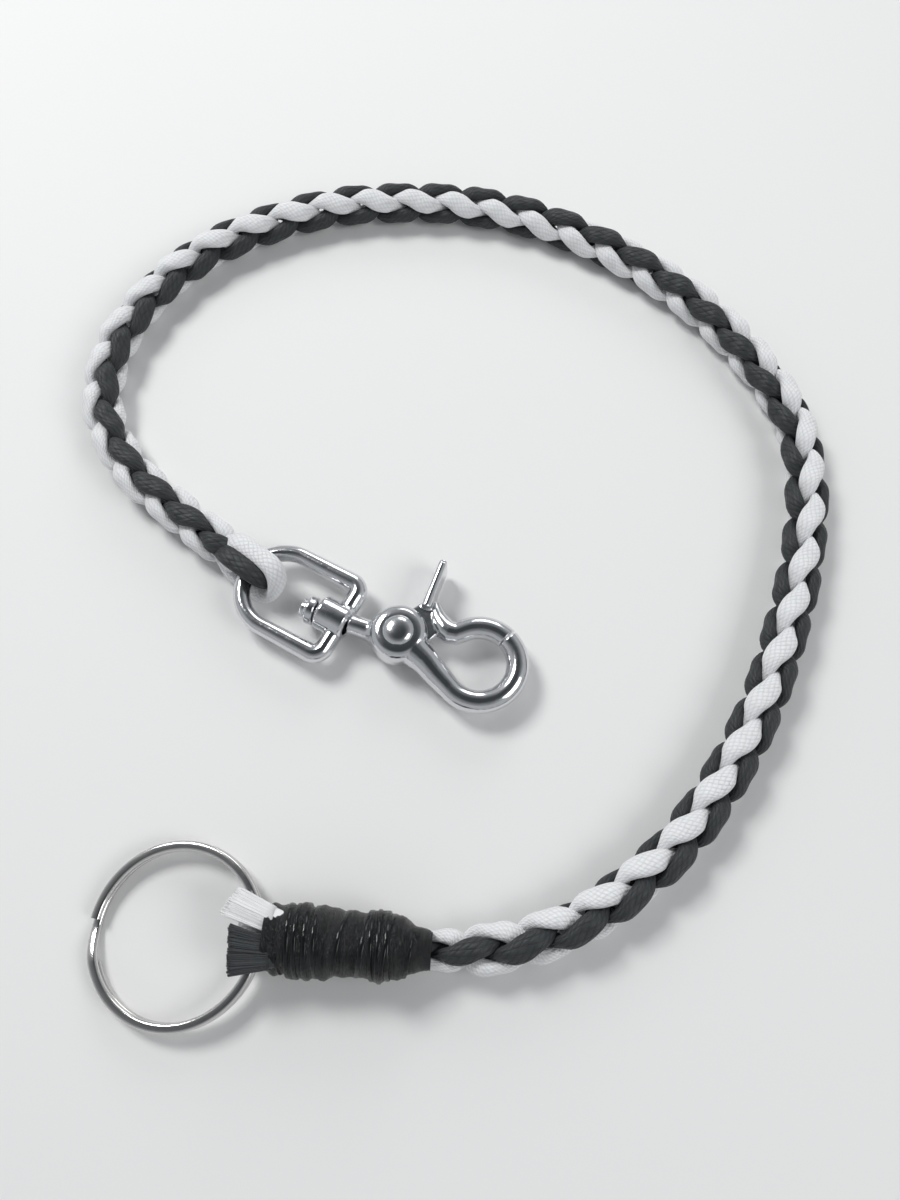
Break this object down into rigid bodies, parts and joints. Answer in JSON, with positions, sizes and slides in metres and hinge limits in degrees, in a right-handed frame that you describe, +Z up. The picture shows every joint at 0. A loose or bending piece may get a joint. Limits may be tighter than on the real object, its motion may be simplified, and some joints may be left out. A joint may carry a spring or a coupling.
{
  "type": "wristlet keychain",
  "caption": "Wristlet keychain: a round braided cord lanyard with a split ring bound on at one end and a swivel snap hook with a thumb trigger at the other.",
  "frame": {"origin": "on the table, under the middle of the box round the hardware (ring, binding, eye and snap hook)", "axes": "+Z up off the table; +X along the bound end, from the split ring towards the braid; +Y from the bound end towards the swivel eye"},
  "size_m": [0.1732, 0.2002, 0.0132],
  "materials": {
    "braided_cord": "woven nylon, two white and two black strands",
    "white_cord": "woven nylon",
    "black_cord": "woven nylon",
    "waxed_thread": "waxed, glossy",
    "nickel_plated_steel": "bright nickel plate",
    "chromed_zinc": "bright chrome plate",
    "plated_rivet": "bright plate",
    "spring_steel": "plain wire"
  },
  "bodies": {
    "lanyard": {"braid": "braided_cord", "whipping_thread": "waxed_thread", "bound_strands": "black_cord", "white_ring_loop": "white_cord", "black_ring_loop": "black_cord", "white_tail_end": "white_cord", "black_tail_end": "black_cord", "white_eye_bight": "white_cord", "black_eye_bight": "black_cord"},
    "ring": {"split_ring": "nickel_plated_steel"},
    "eye": {"swivel_eye": "chromed_zinc"},
    "snap": {"snap_body": "chromed_zinc", "pivot_rivet": "plated_rivet", "trigger_spring": "spring_steel"},
    "trigger_lever": {"trigger": "chromed_zinc"}
  },
  "joints": [
    {"name": "ring_swing", "type": "hinge", "parent": "lanyard", "child": "ring", "pos_m": [-0.00977, -0.03357, 0.00465], "axis": [0.0349, 0.9994, 0], "range_deg": [-80, 85]},
    {"name": "eye_swing", "type": "hinge", "parent": "lanyard", "child": "eye", "pos_m": [-0.01677, 0.04235, 0.0049], "axis": [-0.6018, -0.7986, 0], "range_deg": [-12, 85]},
    {"name": "snap_swivel", "type": "hinge", "parent": "eye", "child": "snap", "pos_m": [0.01545, 0.02567, 0.0049], "axis": [0.9397, -0.342, 0], "continuous": true},
    {"name": "trigger_pivot", "type": "hinge", "parent": "snap", "child": "trigger_lever", "pos_m": [0.01583, 0.0267, 0.0049], "axis": [0, 0, 1], "range_deg": [0, 35], "stiffness_Nm_per_rad": 0.01, "springref_deg": -28.65, "deforming": ["trigger_spring"]}
  ]
}
